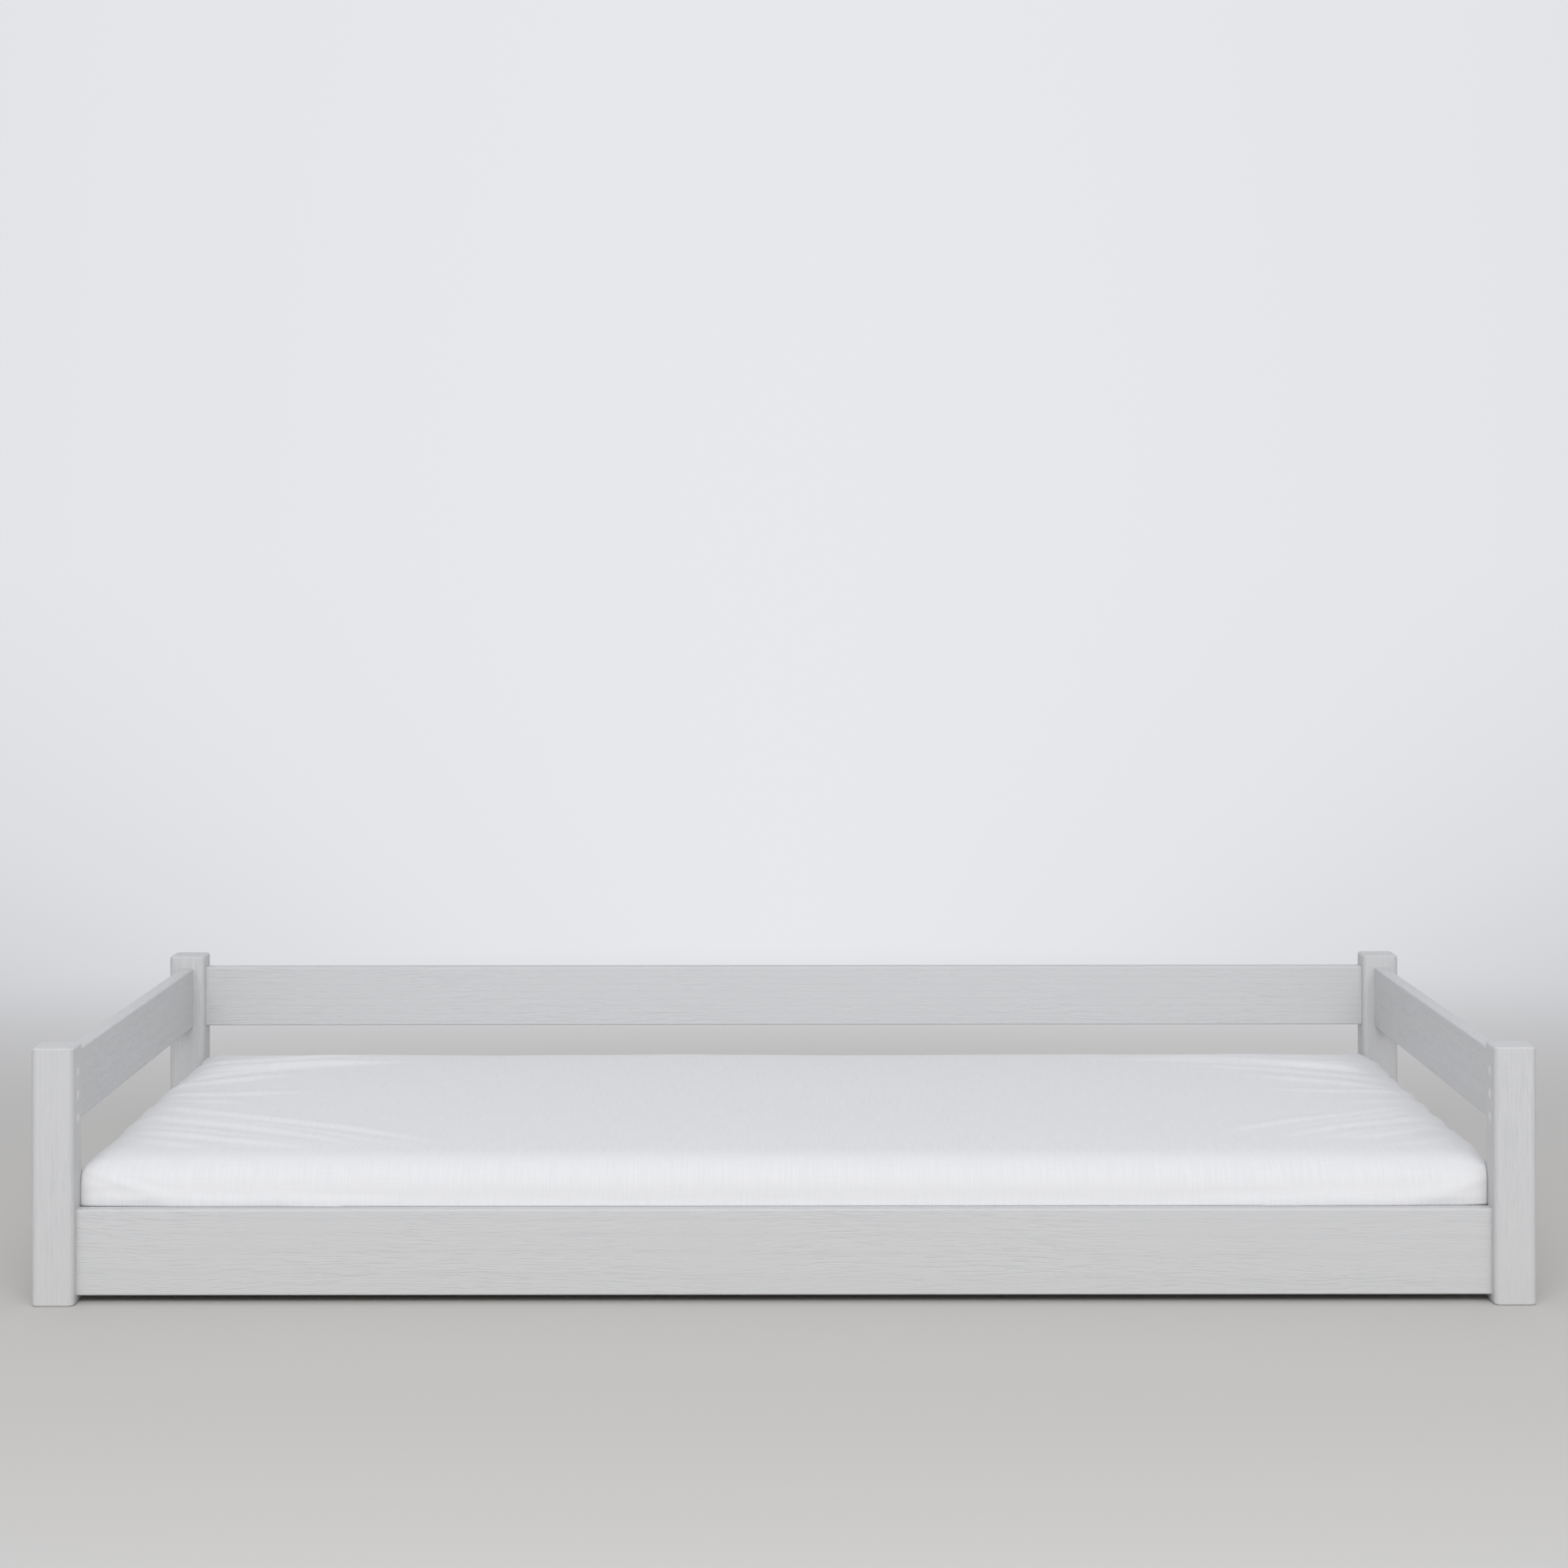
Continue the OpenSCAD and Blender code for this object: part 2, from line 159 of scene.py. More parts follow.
def along(axis, on, across):
    """A scale with one value along the given axis and another across it."""
    return tuple(on if letter == axis else across for letter in "XYZ")


def wave_scale(pitch):
    """The scale at which a wave texture repeats once in every pitch."""
    return math.pi / (10 * pitch)


def add_bump(tree, shader, height, strength, distance):
    """Gives a shader's surface a fine relief."""
    bump = add(tree, "ShaderNodeBump", {"Height": height, "Strength": strength, "Distance": distance})
    tree.links.new(bump.outputs[0], shader.inputs["Normal"])


# ---- Wood ----

PAINT_DARK = (0.620, 0.621, 0.623, 1)
PAINT_LIGHT = (0.653, 0.654, 0.656, 1)
PAINT_OVER_RINGS = (0.52, 0.525, 0.535, 1)
PAINT_OVER_RIDGES = (0.50, 0.505, 0.515, 1)
PINE_DARK = (0.66, 0.46, 0.25, 1)
PINE_LIGHT = (0.74, 0.56, 0.34, 1)
PINE_RINGS = (0.52, 0.30, 0.13, 1)
PINE_FIBRES = (0.80, 0.63, 0.42, 1)
PINE_KNOTS = (0.24, 0.12, 0.05, 1)
# How fast the growth rings change along the trunk, against 1 across it
RING_TAPER = 0.05


def growth_rings(tree, axis, pitch, offset):
    """The lines of growth rings on a sawn face, from 0 to 1, with the trunk along the axis."""
    stretched = place(tree, object_coordinates(tree), along(axis, on=RING_TAPER, across=1.0), offset)
    values = {
        "Vector": stretched,
        "Scale": wave_scale(pitch),
        "Distortion": 9.0,
        "Detail": 2.0,
        "Detail Scale": 0.05,
        "Detail Roughness": 0.45,
    }
    rings = add(tree, "ShaderNodeTexWave", values, wave_type="RINGS", rings_direction=axis)
    return rings.outputs["Fac"]


def wandering_grain(tree, axis):
    """Object coordinates that sway gently across the axis, so that the grain along it does too."""
    coordinates = object_coordinates(tree)
    slow = place(tree, coordinates, along(axis, on=3.2, across=9.0))
    drift = add(tree, "ShaderNodeTexNoise", {"Vector": slow, "Scale": 1.0, "Detail": 1.0})
    centred = (-0.5, -0.5, -0.5)
    sway = place(tree, drift.outputs["Color"], along(axis, on=0.0, across=0.03), centred)
    return add(tree, "ShaderNodeVectorMath", {0: coordinates, 1: sway}, operation="ADD").outputs[0]


def paint_material(axis):
    """Grey satin paint over pine, whose grain shows through as a fine relief along the axis."""
    material, tree, shader = start_material("grey_paint_" + axis.lower())
    coordinates = wandering_grain(tree, axis)
    rings = growth_rings(tree, axis, pitch=0.0060, offset=(0.031, 0.043, 0.037))
    late_wood = ramp(tree, rings, low=0.60, high=1.0)
    fibres = noise_value(tree, place(tree, coordinates, along(axis, on=26.0, across=560.0)))
    patches = noise_value(tree, place(tree, coordinates, along(axis, on=5.0, across=14.0)))
    shown = ramp(tree, patches, low=0.35, high=0.65, to_low=0.25)
    ridges = maths(tree, "MULTIPLY", ramp(tree, fibres, low=0.48, high=0.66), shown)
    brush = noise_value(tree, place(tree, coordinates, along(axis, on=3.0, across=900.0)))

    tone = blend_colours(tree, patches, PAINT_DARK, PAINT_LIGHT)
    tone = tint(tree, tone, PAINT_OVER_RINGS, where=late_wood, strength=0.08)
    tone = tint(tree, tone, PAINT_OVER_RIDGES, where=ridges, strength=0.30)
    rough = ramp(tree, fibres, low=0.2, high=0.8, to_low=0.42, to_high=0.58)
    fill(tree, shader, {"Base Color": tone, "Roughness": rough, "Specular IOR Level": 0.42})
    relief = weighted_sum(tree, (late_wood, -0.3), (ridges, -1.0), (brush, 0.2))
    add_bump(tree, shader, relief, strength=0.6, distance=0.0004)
    return material


def pine_material(name, axis):
    """Bare planed pine with growth rings, fibres and a few knots."""
    material, tree, shader = start_material(name)
    coordinates = object_coordinates(tree)
    cells = {"Vector": place(tree, coordinates, along(axis, on=3.2, across=8.0)), "Scale": 1.0}
    from_centre = add(tree, "ShaderNodeTexVoronoi", cells).outputs["Distance"]
    knots = ramp(tree, from_centre, low=0.03, high=0.13, to_low=1.0, to_high=0.0)
    rings = growth_rings(tree, axis, pitch=0.0068, offset=(0.02, 0.05, 0.055))
    late_wood = ramp(tree, rings, low=0.5, high=1.0)
    fibres = noise_value(tree, place(tree, coordinates, along(axis, on=9.0, across=420.0)), detail=3.0)
    patches = noise_value(tree, place(tree, coordinates, along(axis, on=1.2, across=11.0)))

    tone = blend_colours(tree, patches, PINE_DARK, PINE_LIGHT)
    tone = tint(tree, tone, PINE_RINGS, where=late_wood, strength=0.55)
    pale = ramp(tree, fibres, low=0.35, high=0.8, to_high=0.35)
    tone = blend_colours(tree, pale, tone, PINE_FIBRES)
    tone = tint(tree, tone, PINE_KNOTS, where=knots, strength=0.8)
    rough = ramp(tree, fibres, low=0.2, high=0.8, to_low=0.5, to_high=0.7)
    fill(tree, shader, {"Base Color": tone, "Roughness": rough})
    relief = weighted_sum(tree, (late_wood, 0.5), (fibres, 1.0))
    add_bump(tree, shader, relief, strength=0.5, distance=0.0003)
    return material


# ---- Cloth ----

COTTON_LIGHT = (0.825, 0.825, 0.835, 1)
COTTON_DARK = (0.78, 0.78, 0.79, 1)
TICKING_LIGHT = (0.86, 0.85, 0.80, 1)
TICKING_DARK = (0.74, 0.73, 0.68, 1)
TAPE_LIGHT = (0.86, 0.86, 0.84, 1)
TAPE_DARK = (0.60, 0.60, 0.58, 1)
# Slubs are thick stretches of a thread: their noise is quick across the thread and slow along it
SLUB_ACROSS = 520.0
SLUB_ALONG = 16.0


def threads(tree, vector, pitch, axis):
    """Rows of round threads, one in every pitch along the given axis of the vector, from 0 to 1."""
    values = {"Vector": vector, "Scale": wave_scale(pitch), "Distortion": 0.4}
    rows = add(tree, "ShaderNodeTexWave", values, wave_type="BANDS", bands_direction=axis)
    return rows.outputs["Fac"]


def cloth_material(name, light, dark, pitch, slub_relief):
    """A plain weave on UVs in metres: crossed threads, with slubs where a thread runs thick."""
    material, tree, shader = start_material(name)
    uv = add(tree, "ShaderNodeTexCoord").outputs["UV"]
    weave = maths(tree, "MAXIMUM", threads(tree, uv, pitch, "X"), threads(tree, uv, pitch, "Y"))
    warp_slub = noise_value(tree, place(tree, uv, (SLUB_ACROSS, SLUB_ALONG, 1.0)))
    weft_slub = noise_value(tree, place(tree, uv, (SLUB_ALONG, SLUB_ACROSS, 1.0), (3.1, 1.7, 0.0)))
    weft_share = 0.3
    slubs = add(tree, "ShaderNodeMix", {0: weft_share, 2: warp_slub, 3: weft_slub}).outputs[0]
    fluff = noise_value(tree, uv, scale=1400.0)

    tone = blend_colours(tree, ramp(tree, slubs, low=0.38, high=0.62), dark, light)
    tone = tint(tree, tone, light, where=weave, strength=0.25)
    finish = {"Roughness": 0.85, "Specular IOR Level": 0.2, "Sheen Weight": 0.25, "Sheen Roughness": 0.5}
    fill(tree, shader, {"Base Color": tone, **finish})
    relief = weighted_sum(tree, (weave, 0.5), (slubs, slub_relief), (fluff, 0.2))
    add_bump(tree, shader, relief, strength=0.5, distance=0.0004)
    return material


def webbing_material():
    """Woven polyester tape that runs along X, with ribs across it."""
    material, tree, shader = start_material("webbing")
    coordinates = object_coordinates(tree)
    ribs = threads(tree, coordinates, 0.0016, "X")
    rows = threads(tree, coordinates, 0.0011, "Y")
    weave = maths(tree, "MULTIPLY", ribs, rows)
    tone = blend_colours(tree, weave, TAPE_DARK, TAPE_LIGHT)
    fill(tree, shader, {"Base Color": tone, "Roughness": 0.7})
    add_bump(tree, shader, weave, strength=0.7, distance=0.0004)
    return material


# ---- Hardware ----

ZINC_DARK = (0.50, 0.51, 0.53, 1)
ZINC_LIGHT = (0.68, 0.69, 0.70, 1)
PLASTIC_DARK = (0.67, 0.675, 0.685, 1)
PLASTIC_LIGHT = (0.73, 0.735, 0.74, 1)


def zinc_material():
    """Bright zinc plating with a faint mottle."""
    material, tree, shader = start_material("zinc_steel")
    mottle = noise_value(tree, object_coordinates(tree), scale=260.0, detail=4.0)
    tone = blend_colours(tree, mottle, ZINC_DARK, ZINC_LIGHT)
    rough = ramp(tree, mottle, low=0.3, high=0.7, to_low=0.28, to_high=0.42)
    fill(tree, shader, {"Base Color": tone, "Roughness": rough, "Metallic": 1.0})
    return material


def plastic_material():
    """Moulded grey plastic with a fine spark-eroded texture."""
    material, tree, shader = start_material("grey_plastic")
    coordinates = object_coordinates(tree)
    grain = noise_value(tree, coordinates, scale=2600.0, detail=1.0)
    cloudy = noise_value(tree, coordinates, scale=90.0)
    tone = blend_colours(tree, cloudy, PLASTIC_DARK, PLASTIC_LIGHT)
    rough = ramp(tree, grain, low=0.3, high=0.7, to_low=0.30, to_high=0.42)
    fill(tree, shader, {"Base Color": tone, "Roughness": rough})
    add_bump(tree, shader, grain, strength=0.25, distance=0.0001)
    return material


def finish_nodes(names, material):
    """Gives all the named CAD nodes one material, in place of what they have."""
    for name in names:
        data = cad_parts[name].data
        data.materials.clear()
        data.materials.append(material)


def finish_woodwork_and_hardware():
    nodes = list(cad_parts)
    posts = [name for name in nodes if name.endswith("_post")]
    along_x = ["front_side_board", "rear_side_board", "rear_guard_rail"]
    along_y = ["left_end_board", "right_end_board", "left_guard_rail", "right_guard_rail"]
    finish_nodes(posts, paint_material("Z"))
    finish_nodes(along_x, paint_material("X"))
    finish_nodes(along_y, paint_material("Y"))
    ledgers_and_pins = ["front_ledger", "rear_ledger", "guard_rail_dowels"]
    finish_nodes(ledgers_and_pins, pine_material("pine_x", "X"))
    slats = [name for name in nodes if name.startswith("slat_") and name != "slat_screws"]
    finish_nodes(slats + ["end_board_dowels", "end_rail_dowels"], pine_material("pine_y", "Y"))
    finish_nodes(["front_slat_tape", "rear_slat_tape"], webbing_material())
    metal = [name for name in nodes if name.endswith(("_bolts", "_nuts", "_screws", "_staples"))]
    finish_nodes(metal, zinc_material())
    finish_nodes([name for name in nodes if name.endswith("_caps")], plastic_material())


# ---- Meshes ----


def get_points(mesh):
    points = np.empty(len(mesh.vertices) * 3)
    mesh.vertices.foreach_get("co", points)
    return points.reshape(-1, 3)


def set_points(mesh, points):
    mesh.vertices.foreach_set("co", points.ravel())
    mesh.update()


def get_normals(mesh):
    normals = np.empty(len(mesh.vertices) * 3)
    mesh.vertices.foreach_get("normal", normals)
    return normals.reshape(-1, 3)


def subdivide(piece, levels):
    """Replaces a piece's mesh by a finer and smoother one."""
    modifier = piece.modifiers.new("subdivision", "SUBSURF")
    modifier.levels = modifier.render_levels = levels
    graph = bpy.context.evaluated_depsgraph_get()
    mesh = bpy.data.meshes.new_from_object(piece.evaluated_get(graph))
    piece.modifiers.clear()
    coarse = piece.data
    piece.data = mesh
    bpy.data.meshes.remove(coarse)


# ---- Soft block ----

# Side of the grid's cells. The walls' rows are half as high.
GRID = 0.016
# Radius of the upper edges along the bed, and of those at its left and right ends
TOP_R = 0.043
END_R = (0.027, 0.013)
FOOT_R = 0.012
# Seen from above, the corners are superellipses
CORNER = 0.020
CORNER_SQUARENESS = 8.0
# The top's rise in the middle, and how flat it is along and across the bed
CROWN = 0.0025
CROWN_FLATNESS = (6, 4)
# Width of the sheet's hem under the mattress
HEM = 0.12


class SoftBlock:
    """A grid wrapped round a block: its size, its lattice and its faces."""

    def __init__(self, low, high, inset):
        low, high = np.array(low), np.array(high)
        self.half = (high - low)[:2] / 2 - inset
        self.centre = (high + low)[:2] / 2
        self.z0 = low[2] + inset
        self.z1 = high[2] - inset
        size = np.array([2 * self.half[0], 2 * self.half[1], self.z1 - self.z0])
        self.cells = np.round(size / GRID).astype(int) * np.array([1, 1, 2])
        self.step = size / self.cells

    def flat_place(self, key):
        """A lattice point's place on the sharp-edged block, from its three counts."""
        x, y, z = np.array(key) * self.step
        return x - self.half[0], y - self.half[1], z + self.z0

    def faces(self, open_foot):
        """Each face as four lattice points and four UVs; an open foot has only a hem's width."""
        nx, ny, nz = self.cells
        rows = []

        def patch(counts, corner, unroll, keep=lambda i, j: True):
            for i in range(counts[0]):
                for j in range(counts[1]):
                    if keep(i, j):
                        keys = [corner(i, j), corner(i + 1, j), corner(i + 1, j + 1), corner(i, j + 1)]
                        rows.append((keys, [unroll(*self.flat_place(key)) for key in keys]))

        hx, hy = self.half
        z0, z1 = self.z0, self.z1
        hem_i, hem_j = (round(HEM / self.step[k]) for k in (0, 1))

        def in_hem(i, j):
            return not open_foot or not (hem_i <= i < nx - hem_i and hem_j <= j < ny - hem_j)

        patch((nx, ny), lambda i, j: (i, j, nz), lambda x, y, z: (x, y))
        patch((nx, nz), lambda i, k: (i, 0, k), lambda x, y, z: (x, -hy - (z1 - z)))
        patch((nx, nz), lambda i, k: (nx - i, ny, k), lambda x, y, z: (x, hy + (z1 - z)))
        patch((ny, nz), lambda j, k: (0, ny - j, k), lambda x, y, z: (-hx - (z1 - z), y))
        patch((ny, nz), lambda j, k: (nx, j, k), lambda x, y, z: (hx + (z1 - z), y))
        patch((nx, ny), lambda i, j: (nx - i, j, 0), lambda x, y, z: (x, y + 2 * (z1 - z0)), in_hem)
        return rows

    def round_corners(self, flat):
        """Moves places on the sharp rectangle on to one with rounded corners."""
        inner = self.half - CORNER
        base = np.clip(flat, -inner, inner)
        away = flat - base
        norm = (np.abs(away) ** CORNER_SQUARENESS).sum(1) ** (1 / CORNER_SQUARENESS)
        largest = np.abs(away).max(1)
        return base + away * (largest / np.maximum(norm, TINY))[:, None]

    def soften(self, points):
        """Moves points of the sharp block on to the soft one, with round edges and a crowned top."""
        flat, height = points[:, :2], points[:, 2]
        plan = self.round_corners(flat)
        away = flat - np.clip(flat, TOP_R - self.half, self.half - TOP_R)
        out = away / np.maximum(np.linalg.norm(away, axis=1), TINY)[:, None]
        depth = (self.half - np.abs(flat)).min(1)
        end_r = np.where(flat[:, 0] < 0, *END_R)
        top_r = TOP_R + (end_r - TOP_R) * out[:, 0] ** 2
        for edge, radius, up in ((self.z1, top_r, 1), (self.z0, FOOT_R, -1)):
            # The last radius of the wall and the first radius of the face become a quarter turn
            below = (edge - points[:, 2]) * up
            walk = np.where(below > TINY, radius - below, radius + depth)
            turned = (walk > 0) & (walk < 2 * radius)
            angle = np.clip(walk / (2 * radius), 0, 1) * math.pi / 2
            inset = radius * (1 - np.cos(angle)) - depth
            plan = np.where(turned[:, None], plan - out * inset[:, None], plan)
            height = np.where(turned, edge - up * radius * (1 - np.sin(angle)), height)
        share = np.abs(plan) / self.half
        crown = CROWN * (1 - share**CROWN_FLATNESS).prod(1)
        rise = (height - self.z0) / (self.z1 - self.z0)
        height = height + crown * np.clip(2 * rise - 1, 0, 1)
        return np.column_stack([plan + self.centre, height])


def block_mesh(name, block, open_foot):
    """The soft block as a mesh object, with UVs in metres."""
    rows = block.faces(open_foot)
    index = {}
    for corners, _ in rows:
        for key in corners:
            index.setdefault(key, len(index))
    points = block.soften(np.array([block.flat_place(key) for key in index]))
    mesh = bpy.data.meshes.new(name)
    mesh.from_pydata(points.tolist(), [], [[index[key] for key in corners] for corners, _ in rows])
    uvs = mesh.uv_layers.new(name="weave")
    uvs.data.foreach_set("uv", np.array([uv for _, four in rows for uv in four]).ravel())
    mesh.shade_smooth()
    made = bpy.data.objects.new(name, mesh)
    bpy.context.scene.collection.objects.link(made)
    return made


# ---- Cloth simulation ----

# Spare cloth along the bed and across it, and the most that the cloth may move while it settles
SLACK = (0.004, 0.010)
SETTLE_FRAMES = 18
SETTLE_CAP = 0.004
PINNED_HEIGHT = 0.030


def settle_sheet(sheet, core, block):
    """Lets the sheet's spare cloth settle on the mattress by simulation."""
    start = get_points(sheet.data)
    pins = sheet.vertex_groups.new(name="pins")
    low = np.nonzero(start[:, 2] < block.z0 + PINNED_HEIGHT)[0]
    pins.add(low.tolist(), 1.0, "REPLACE")
    sheet.shape_key_add(name="as_placed")
    cut = sheet.shape_key_add(name="as_cut")
    wide = start * np.array([1 + SLACK[0], 1 + SLACK[1], 1.0])
    cut.data.foreach_set("co", wide.ravel())

    collider = core.modifiers.new("collision", "COLLISION")
    core.collision.thickness_outer = 0.001
    core.collision.cloth_friction = 12.0
    cloth = sheet.modifiers.new("cloth", "CLOTH")
    settings = cloth.settings
    settings.quality = 6
    settings.mass = 0.15
    settings.tension_stiffness = settings.compression_stiffness = 20.0
    settings.bending_stiffness = 0.08
    settings.vertex_group_mass = "pins"
    settings.rest_shape_key = cut
    cloth.collision_settings.distance_min = 0.001
    cloth.collision_settings.collision_quality = 3
    cloth.point_cache.frame_start = 1
    cloth.point_cache.frame_end = SETTLE_FRAMES

    scene = bpy.context.scene
    for number in range(1, SETTLE_FRAMES + 1):
        scene.frame_set(number)
    graph = bpy.context.evaluated_depsgraph_get()
    settled = get_points(sheet.evaluated_get(graph).data)
    sheet.modifiers.remove(cloth)
    core.modifiers.remove(collider)
    sheet.shape_key_clear()
    sheet.vertex_groups.clear()
    scene.frame_set(1)
    moved = settled - start
    length = np.linalg.norm(moved, axis=1)
    moved *= np.minimum(1.0, SETTLE_CAP / np.maximum(length, TINY))[:, None]
    set_points(sheet.data, start + moved)


# ---- Creases ----

# Creases fan out from both ends towards the long edges. Each has the share of the half-width where
# it starts, the shares of half-width and half-length where it ends, its bow and its depth.
CREASES = [
    (0.75, 0.86, 0.72, 1.0, 0.3),
    (0.63, 0.84, 0.62, 0.8, 0.7),
    (0.52, 0.84, 0.59, 0.7, 0.7),
    (0.43, 0.80, 0.62, 0.7, 1.0),
    (0.31, 0.69, 0.68, 0.8, 0.7),
    (0.18, 0.50, 0.79, 0.9, 0.8),
    (0.06, 0.15, 0.76, 1.0, 0.6),
    (-0.04, -0.12, 0.80, 1.0, 0.5),
    (-0.13, -0.84, 0.47, 1.0, 1.0),
    (-0.24, -0.86, 0.53, 1.0, 0.7),
    (-0.34, -0.88, 0.56, 1.0, 1.0),
    (-0.45, -0.86, 0.64, 1.0, 0.6),
    (-0.55, -0.86, 0.68, 1.0, 0.8),
    (-0.70, -0.90, 0.78, 1.0, 0.5),
]
CREASE_HEIGHT = 0.0060
# A crease is steep on its front side and shallow on its rear one, and widens from start to end
CREASE_FRONT = 0.0080
CREASE_BACK = 0.021
CREASE_WIDENING = (0.8, 1.2)
CREASE_START = 0.99
# Shares of a crease's length over which it rises and dies away
CREASE_RISE = 0.15
CREASE_FALL = 0.45
# No two creases are alike: the place and the reach of each are off by up to a share of the
# half-size, and its line sways from side to side
CREASE_WOBBLE = 0.03
CREASE_SWAY = 0.003
# The left fans are a little longer. At the right end the front fan is shorter and fainter, and the
# rear one longer and fainter.
LEFT_REACH = 1.07
FRONT_RIGHT_SHARE = 0.72
REAR_RIGHT_REACH = 1.25
REAR_RIGHT_DEPTH = 0.8


def crease_relief(points, half):
    """The height of the fanned creases above the sheet at each point."""
    relief = np.zeros(len(points))
    for side in (-1, 1):
        for number, (y0, y1, x1, bow, depth) in enumerate(CREASES):
            wobble = CREASE_WOBBLE * math.sin(2.1 * number + side)
            reach = (CREASE_START - x1 - wobble) * half[0]
            if side < 0:
                reach *= LEFT_REACH
            elif y1 < y0:
                reach *= FRONT_RIGHT_SHARE
                depth *= FRONT_RIGHT_SHARE
                y1 = y0 + (y1 - y0) * FRONT_RIGHT_SHARE
            else:
                reach *= REAR_RIGHT_REACH
                depth *= REAR_RIGHT_DEPTH
            on = (CREASE_START * half[0] - side * points[:, 0]) / reach
            inside = np.clip(on, 0, 1)
            middle = (y0 + wobble + (y1 - y0) * inside**bow) * half[1]
            middle = middle + CREASE_SWAY * np.sin(9 * inside + number)
            slope = (y1 - y0) * half[1] / reach
            away = (points[:, 1] - middle) / math.hypot(1.0, slope)
            fade = np.clip(on / CREASE_RISE, 0, 1) * np.clip((1 - on) / CREASE_FALL, 0, 1)
            fade = fade * fade * (3 - 2 * fade)
            widening = np.interp(inside, (0, 1), CREASE_WIDENING)
            width = np.where(away < 0, CREASE_FRONT, CREASE_BACK) * widening
            relief += CREASE_HEIGHT * depth * fade * np.exp(-((away / width) ** 2))
    return relief


# Small folds round the opening under the mattress
GATHER_PITCH = 0.022
GATHER_HEIGHT = 0.0006
GATHER_REACH = 0.06
FACING_DOWN = -0.5


def gathers(points, normals, block):
    """The relief of the small folds where elastic draws in the hem."""
    inner = block.half - HEM
    beyond = np.abs(points[:, :2] - block.centre) - inner
    at_corner = (beyond > 0).all(1)
    away = np.where(at_corner, np.hypot(beyond[:, 0], beyond[:, 1]), beyond.max(1))
    round_corner = np.arctan2(beyond[:, 1], beyond[:, 0]) * HEM
    straight = np.where(beyond[:, 0] > beyond[:, 1], points[:, 1], points[:, 0])
    walk = np.where(at_corner, round_corner, straight)
    near = np.clip(1 - away / GATHER_REACH, 0, 1) * (normals[:, 2] < FACING_DOWN)
    return GATHER_HEIGHT * near * (np.sin(2 * math.pi * walk / GATHER_PITCH) - 1)


# Each layer of the sheet's unevenness has its height, its scale and its seed
UNEVENNESS = [(0.0010, 4.0, 1.0), (0.0005, 13.0, 2.0)]
# The puckers at both ends: their height, their scale on each axis, their seed, and the share of the
# half-length where they begin
PUCKER_HEIGHT = 0.0040
PUCKER_SCALE = (4.0, 24.0, 6.0)
PUCKER_SEED = 3.0
PUCKER_START = 0.9
END_WALL_START = 0.96
# The upward share of a normal from which a point begins to count as on top, and fully does
FACING_UP = (0.3, 0.9)


def cloud(points, scale, seed):
    """Smooth noise from -1 to 1 at each point."""
    shift = Vector((seed, 2.3 * seed, -1.7 * seed))
    return np.array([noise.noise(Vector(p) * scale + shift) for p in points])


def dress_sheet(sheet, block):
    """Adds the creases and the gentle unevenness of cloth on foam."""
    points = get_points(sheet.data)
    normals = get_normals(sheet.data)
    share = np.abs(points[:, :2] - block.centre) / block.half
    top = np.interp(normals[:, 2], FACING_UP, (0, 1))
    wall = np.clip(1 - np.abs(normals[:, 2]), 0, 1)
    end = wall * np.clip((share[:, 0] - END_WALL_START) / (1 - END_WALL_START), 0, 1)
    relief = crease_relief(points - np.append(block.centre, 0.0), block.half) * top
    for height, scale, seed in UNEVENNESS:
        relief += height * cloud(points, scale, seed) * (top + wall)
    puckers = cloud(points * np.array(PUCKER_SCALE), 1.0, PUCKER_SEED)
    near_end = np.clip((share[:, 0] - PUCKER_START) / (1 - PUCKER_START), 0, 1)
    relief += PUCKER_HEIGHT * puckers * near_end * (top + end)
    relief += gathers(points, normals, block)
    set_points(sheet.data, points + normals * relief[:, None])


# ---- Fit of the sheet to the mattress, the boards and the posts ----

# How often the sheet's grid is halved
SHEET_LEVELS = 2
# What the sheet keeps clear of the mattress, the posts and the boards
CORE_GAP = 0.0006
POST_GAP = 0.0004
BOARD_GAP = 0.0003
# How far the long walls bulge over the side boards, and the right end towards its end board
SPILL = 0.0055
END_SPILL = 0.005
# How far the long walls bulge behind the boards, and in the row right under the boards' tops
SQUEEZE = 0.0015
TUCK = 0.0028
# From how near to a long wall, as a share of the upper edge's radius, a point belongs to it
WALL_SHARE = 0.8
# How far the sheet's corners are drawn towards the posts, and over what width they stretch for it
POST_DRAW = 0.0045
POST_STRETCH = 0.05


def rest_on_core(sheet, core):
    """Lifts any point of the sheet that lies in the mattress back on to it."""
    corners = [vertex.co for vertex in core.data.vertices]
    tree = BVHTree.FromPolygons(corners, [face.vertices for face in core.data.polygons])
    for vertex in sheet.data.vertices:
        place_on, normal, _, _ = tree.find_nearest(vertex.co)
        depth = (vertex.co - place_on).dot(normal)
        if depth < CORE_GAP:
            vertex.co += normal * (CORE_GAP - depth)


